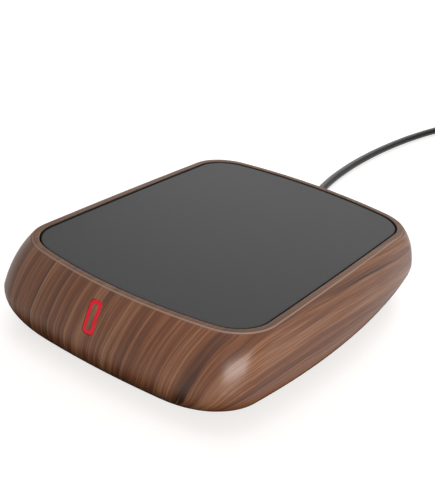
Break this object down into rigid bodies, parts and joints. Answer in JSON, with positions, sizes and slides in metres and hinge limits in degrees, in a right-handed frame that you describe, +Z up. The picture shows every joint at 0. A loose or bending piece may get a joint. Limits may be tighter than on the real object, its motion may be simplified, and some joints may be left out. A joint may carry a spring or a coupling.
{
  "type": "electric mug warmer",
  "caption": "Low electric mug warmer with rounded wood-finish housing, sprung flat heating plate, slim lit key on the front slope and mains cord with coiled end and plug.",
  "frame": {"origin": "centre of the housing's footprint, on the surface that the feet stand on", "axes": "+Z is up, -Y is the short front face with the lit key, +Y is the rear where the cord leaves, +X is the right long side"},
  "size_m": [0.12, 0.4264, 0.033],
  "materials": {
    "wood_finish_shell": "satin walnut wood-grain film over moulded plastic",
    "black_plastic": "fine texture",
    "rubber_black": "matt",
    "zinc_steel": "zinc plated",
    "coated_aluminium": "matt dark coating",
    "brown_plastic": "moulded",
    "heater_mat": "silicone sheet",
    "felt": "ceramic fibre felt",
    "sheet_steel": "galvanised",
    "brass_cup": "plain",
    "spring_steel": "drawn wire",
    "glazed_white": "glazed",
    "wire_red": "insulated wire",
    "wire_grey": "insulated wire",
    "wire_blue": "insulated wire",
    "wire_brown": "insulated wire",
    "red_lens": "translucent red, lit from behind",
    "board_green": "solder resist",
    "ivory_plastic": "moulded",
    "lamp_resin": "clear resin",
    "red_button": "moulded",
    "blue_case": "moulded",
    "yellow_case": "moulded",
    "black_sleeve": "printed sleeve, left blank",
    "green_block": "moulded",
    "cord_jacket": "satin",
    "nickel_blade": "nickel plated"
  },
  "bodies": {
    "housing": {"upper_shell": "wood_finish_shell", "base_cover": "black_plastic", "rubber_feet": "rubber_black", "case_screws": "zinc_steel", "key_board": "board_green", "key_board_screws": "zinc_steel", "tact_switch": "black_plastic", "indicator_lamps": "lamp_resin", "key_cable": "wire_grey", "micro_switch": "black_plastic", "switch_screws": "zinc_steel", "switch_leads": "wire_blue", "main_board": "board_green", "board_screws": "zinc_steel", "relay": "blue_case", "film_capacitor": "yellow_case", "electrolytic_capacitors": "black_sleeve", "board_fuse": "black_plastic", "terminal_block": "green_block", "board_connectors": "ivory_plastic", "board_chips": "black_plastic", "mains_leads": "wire_brown", "strain_relief": "cord_jacket", "cord_clamp": "black_plastic", "cord_clamp_screws": "zinc_steel", "cord_inner": "cord_jacket", "cord_lead": "cord_jacket", "cord_coil": "cord_jacket", "coil_tie": "black_plastic", "cord_tail": "cord_jacket", "plug_body": "cord_jacket", "plug_blades": "nickel_blade"},
    "warming_plate": {"heating_plate": "coated_aluminium", "plate_carrier": "brown_plastic", "carrier_screws": "zinc_steel", "heater_element": "heater_mat", "insulation_pad": "felt", "clamp_plate": "sheet_steel", "clamp_screws": "zinc_steel", "temperature_sensor": "brass_cup", "sensor_clip": "spring_steel", "thermal_cutoff": "glazed_white", "cutoff_bracket": "spring_steel", "return_springs": "spring_steel", "heater_leads": "wire_red", "sensor_leads": "wire_grey"},
    "key": {"power_key": "red_lens", "key_inlay": "wood_finish_shell"},
    "tact_button": {"tact_plunger": "ivory_plastic"},
    "sense_button": {"switch_plunger": "red_button"}
  },
  "joints": [
    {"name": "plate_slide", "type": "slide", "parent": "housing", "child": "warming_plate", "axis": [0, 0, 1], "range_m": [-0.0012, 0], "stiffness_N_per_m": 3000, "springref_m": 0.0006, "deforming": ["return_springs", "heater_leads", "sensor_leads"]},
    {"name": "sense_button_slide", "type": "slide", "parent": "housing", "child": "sense_button", "axis": [0, 0, 1], "range_m": [-0.0012, 0]},
    {"name": "key_slide", "type": "slide", "parent": "housing", "child": "key", "axis": [0, 0.9273, -0.3743], "range_m": [0, 0.0005], "stiffness_N_per_m": 3000, "springref_m": -0.0002},
    {"name": "tact_button_slide", "type": "slide", "parent": "housing", "child": "tact_button", "axis": [0, 0.9273, -0.3743], "range_m": [0, 0.0005]}
  ],
  "couplings": [
    {"joint": "sense_button_slide", "follows": "plate_slide", "ratio": 1},
    {"joint": "tact_button_slide", "follows": "key_slide", "ratio": 1}
  ]
}
